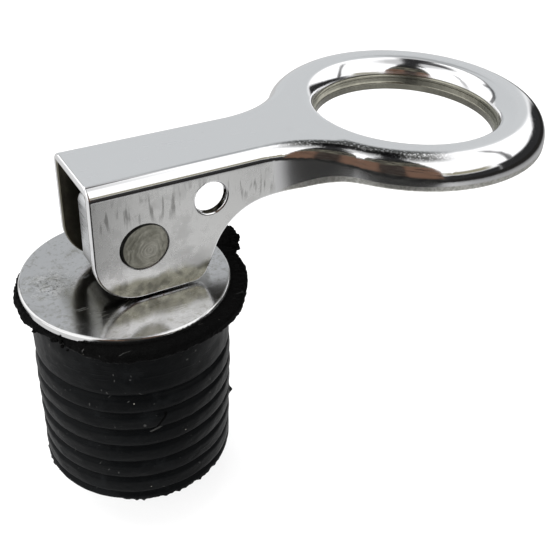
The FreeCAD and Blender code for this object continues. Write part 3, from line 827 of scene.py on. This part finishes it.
def dark_card():
    """The dark card round the camera, which only the steel sees: brown and black, olive above."""
    left = Vector((*CARD_LEFT_END, CARD_FOOT))
    right = Vector((*CARD_RIGHT_END, CARD_FOOT))
    width = (right - left).length
    tall = CARD_TOP - CARD_FOOT
    mesh = bmesh.new()
    bmesh.ops.create_grid(mesh, x_segments=1, y_segments=1, size=0.5)
    bmesh.ops.scale(mesh, vec=(width * MM, tall * MM, 1), verts=mesh.verts)
    data = bpy.data.meshes.new("dark_card")
    mesh.to_mesh(data)
    mesh.free()
    card = bpy.data.objects.new("dark_card", data)
    bpy.context.scene.collection.objects.link(card)
    card.location = ((left + right) / 2 + Vector((0, 0, tall / 2))) * MM
    card.rotation_euler = (math.radians(90), 0, math.atan2(right.y - left.y, right.x - left.x))
    made = bpy.data.materials.new("card_dark_brown")
    made.use_nodes = True
    tree = made.node_tree
    tree.nodes.clear()
    where = tree.nodes.new("ShaderNodeTexCoord")
    across, up, _ = place_mm(tree, where)
    level = plus(tree, up, tall / 2 + CARD_FOOT)
    share = plus(tree, over(tree, across, width), 0.5)
    away = ramp(tree, share, 0, 1, CARD_NEAR, CARD_FAR)
    rise = over(tree, minus(tree, level, EYE_LEVEL), away)
    drawn_out = stretched(tree, where.outputs["Object"], (0, 0, 0.25), (14, 48, 1))
    streaky = noise_at(tree, drawn_out, 1.0, 5.0, 0.6)
    grainy = noise_at(tree, where.outputs["Object"], 60.0, 5.0, 0.65)
    brown = times(tree, between(tree, rise, 0.06, 1.05, 0.09), ramp(tree, streaky, 0.32, 0.46))
    off_middle = calc(tree, "ABSOLUTE", minus(tree, share, 0.36))
    brown = times(tree, brown, ramp(tree, off_middle, 0.09, 0.16, 0.12, 1.0))
    olive = times(tree, between(tree, rise, 1.0, 1.8, 0.15), ramp(tree, grainy, 0.40, 0.60))
    grains = ramp(tree, grainy, 0.4, 0.7)
    tone = blend_colour(tree, grains, (0.012, 0.012, 0.012, 1), (0.05, 0.05, 0.045, 1))
    tone = blend_colour(tree, olive, tone, (0.20, 0.19, 0.145, 1))
    tone = blend_colour(tree, brown, tone, (0.185, 0.108, 0.074, 1))
    glow = put(tree, "ShaderNodeEmission", {}, {"Color": tone, "Strength": 1.0})
    clear = tree.nodes.new("ShaderNodeBsdfTransparent")
    dome = calc(tree, "MINIMUM", over(tree, calc(tree, "MAXIMUM", rise, 0.0), 4.0), 1.0)
    dome = calc(tree, "POWER", dome, 2.0)
    half = times(tree, calc(tree, "SQRT", minus(tree, 1.0, dome)), width / 2)
    seen = ramp(tree, minus(tree, half, calc(tree, "ABSOLUTE", across)), 0, 6)
    seen = times(tree, seen, ramp(tree, level, CARD_FOOT, CARD_FOOT + 8))
    mixed = put(tree, "ShaderNodeMixShader", {}, {0: seen})
    tree.links.new(clear.outputs[0], mixed.inputs[1])
    tree.links.new(glow.outputs[0], mixed.inputs[2])
    shown = tree.nodes.new("ShaderNodeOutputMaterial")
    tree.links.new(mixed.outputs[0], shown.inputs["Surface"])
    data.materials.append(made)
    card.visible_camera = False
    card.visible_diffuse = False
    card.visible_shadow = False
    card.visible_transmission = False


def studio_room():
    """The room as the steel sees it: a white ceiling, grey behind, brown and black in front."""
    world = bpy.data.worlds.new("studio_room")
    world.use_nodes = True
    tree = world.node_tree
    tree.nodes.clear()
    where = tree.nodes.new("ShaderNodeTexCoord")
    direction = where.outputs["Generated"]
    split = put(tree, "ShaderNodeSeparateXYZ", {}, {0: direction})
    heading = calc(tree, "DEGREES", calc(tree, "ARCTAN2", split.outputs[1], split.outputs[0]))
    height = calc(tree, "DEGREES", calc(tree, "ARCSINE", split.outputs[2]))
    tone = blend_colour(tree, ramp(tree, height, 64, 78), grey(1.45), grey(0.72))
    paper_top = ramp(tree, heading, 60, 95, 58, 44)
    under_paper_top = ramp(tree, minus(tree, height, paper_top), 4, -4)
    paper = times(tree, between(tree, heading, 34, 102, 5), under_paper_top)
    tone = blend_colour(tree, paper, tone, (0.69, 0.71, 0.72, 1))
    warm = times(tree, between(tree, heading, -92, -52, 6), between(tree, height, 16, 27, 3))
    tone = blend_colour(tree, warm, tone, (0.34, 0.32, 0.23, 1))
    speckled = noise_at(tree, direction, 26.0, 4.0, 0.7)
    top_dark = times(tree, between(tree, heading, -160, -96, 9), ramp(tree, height, 60, 72))
    top_dark = plus(tree, top_dark, times(tree, minus(tree, speckled, 0.5), 1.6))
    top_dark = times(tree, ramp(tree, top_dark, 0.35, 0.75), ramp(tree, height, 56, 62))
    tone = blend_colour(tree, times(tree, top_dark, 0.85), tone, (0.05, 0.05, 0.045, 1))
    off_edge = calc(tree, "ABSOLUTE", minus(tree, height, paper_top))
    edge_line = times(tree, between(tree, heading, 60, 104, 5), ramp(tree, off_edge, 3.2, 1.2))
    tone = blend_colour(tree, times(tree, edge_line, 0.8), tone, (0.08, 0.08, 0.08, 1))
    dark = None
    for root, lean, half, low, high, strength in ROOM_SEAMS:
        straight = minus(tree, heading, times(tree, height, lean))
        seam = between(tree, straight, root - half, root + half, 2)
        seam = times(tree, seam, between(tree, height, low, high, 4))
        seam = times(tree, seam, strength)
        dark = seam if dark is None else calc(tree, "MAXIMUM", dark, seam)
    for left, right, top in ROOM_DARK_EDGE:
        edge = times(tree, between(tree, heading, left, right, 3), ramp(tree, height, top + 3, top - 3))
        edge = times(tree, edge, ramp(tree, height, -18, -12))
        dark = calc(tree, "MAXIMUM", dark, edge)
    across = over(tree, minus(tree, heading, ARCH_MIDDLE[0]), ARCH_REACH[0])
    rise = over(tree, minus(tree, height, ARCH_MIDDLE[1]), ARCH_REACH[1])
    thick = ramp(tree, rise, 0.3, 1.0, 0.07, 0.035)
    off_arch = calc(tree, "ABSOLUTE", minus(tree, distance_from(tree, across, rise), 0.98))
    arch = ramp(tree, minus(tree, off_arch, thick), 0.025, -0.025)
    arch = times(tree, arch, times(tree, ramp(tree, rise, 0, 0.1), ramp(tree, heading, 28, 6)))
    dark = calc(tree, "MAXIMUM", dark, times(tree, arch, 0.9))
    off_slot = put(tree, "ShaderNodeVectorMath", {"operation": "DOT_PRODUCT"}, {
        0: direction, 1: (-math.sin(SLOT_HEADING), math.cos(SLOT_HEADING), 0.0)}).outputs["Value"]
    slot = between(tree, off_slot, -SLOT_HALF, SLOT_HALF, 0.03)
    slot_strength = plus(tree, ramp(tree, height, 34, 44, 0.0, 0.35), ramp(tree, height, 58, 66, 0.0, 0.65))
    slot = times(tree, slot, slot_strength)
    dark = calc(tree, "MAXIMUM", dark, slot)
    behind = times(tree, between(tree, heading, 52, 122, 8), ramp(tree, height, 63, 71))
    dark = calc(tree, "MAXIMUM", dark, times(tree, behind, 0.9))
    tone = blend_colour(tree, dark, tone, (0.03, 0.03, 0.031, 1))
    sky = put(tree, "ShaderNodeBackground", {}, {"Color": tone, "Strength": 1.0})
    backdrop = put(tree, "ShaderNodeBackground", {}, {"Color": grey(1.0), "Strength": 1.0})
    ray = tree.nodes.new("ShaderNodeLightPath")
    mixed = put(tree, "ShaderNodeMixShader", {}, {0: ray.outputs["Is Camera Ray"]})
    tree.links.new(sky.outputs[0], mixed.inputs[1])
    tree.links.new(backdrop.outputs[0], mixed.inputs[2])
    shown = tree.nodes.new("ShaderNodeOutputWorld")
    tree.links.new(mixed.outputs[0], shown.inputs["Surface"])
    bpy.context.scene.world = world


def soft_light(name, place, aim, size, power):
    """A square soft light that isn't itself seen in the steel."""
    lamp = bpy.data.lights.new(name, "AREA")
    lamp.shape = "SQUARE"
    lamp.size = size
    lamp.energy = power
    holder = bpy.data.objects.new(name, lamp)
    bpy.context.scene.collection.objects.link(holder)
    holder.location = place
    holder.rotation_euler = (Vector(place) - Vector(aim)).to_track_quat("Z", "Y").to_euler()
    holder.visible_glossy = False


tumbled("lever", "lever_sheet", "handle", lever_steel(), SHEET_EDGE_ROUND, keeps_crisp)
dress("pivot_pin", pin_steel())
# The stem is darkened below 5.4 mm as painted shade between the lever's cheeks.
dress("stem", satin_steel("stem_steel_machined", (0.60, 0.61, 0.62, 1), (0.42, 0.42, 0.43, 1),
                          0.24, 0.40, (400, 400, 3000), 5.4))
dress("top_plate", plate_steel())
dress("bottom_washer", satin_steel("washer_steel_plain", (0.62, 0.63, 0.64, 1), (0.48, 0.48, 0.49, 1),
                                   0.25, 0.40, (1500, 1500, 1500)))
dress("lock_nut", satin_steel("nut_steel_bright", (0.62, 0.63, 0.64, 1), (0.50, 0.50, 0.50, 1),
                              0.18, 0.32, (900, 900, 2600)))
dress("nut_insert", insert_nylon())
stopper()
crumbs()

studio_floor()
studio_room()
dark_card()
soft_light("light_above", (-0.10, 0.10, 0.55), (0.01, 0, 0), 0.5, 5.0)
soft_light("light_front_left", (-0.35, -0.30, 0.30), (0.0, 0, -0.01), 0.35, 1.5)
aim_camera()
bpy.context.scene.view_settings.view_transform = "Standard"
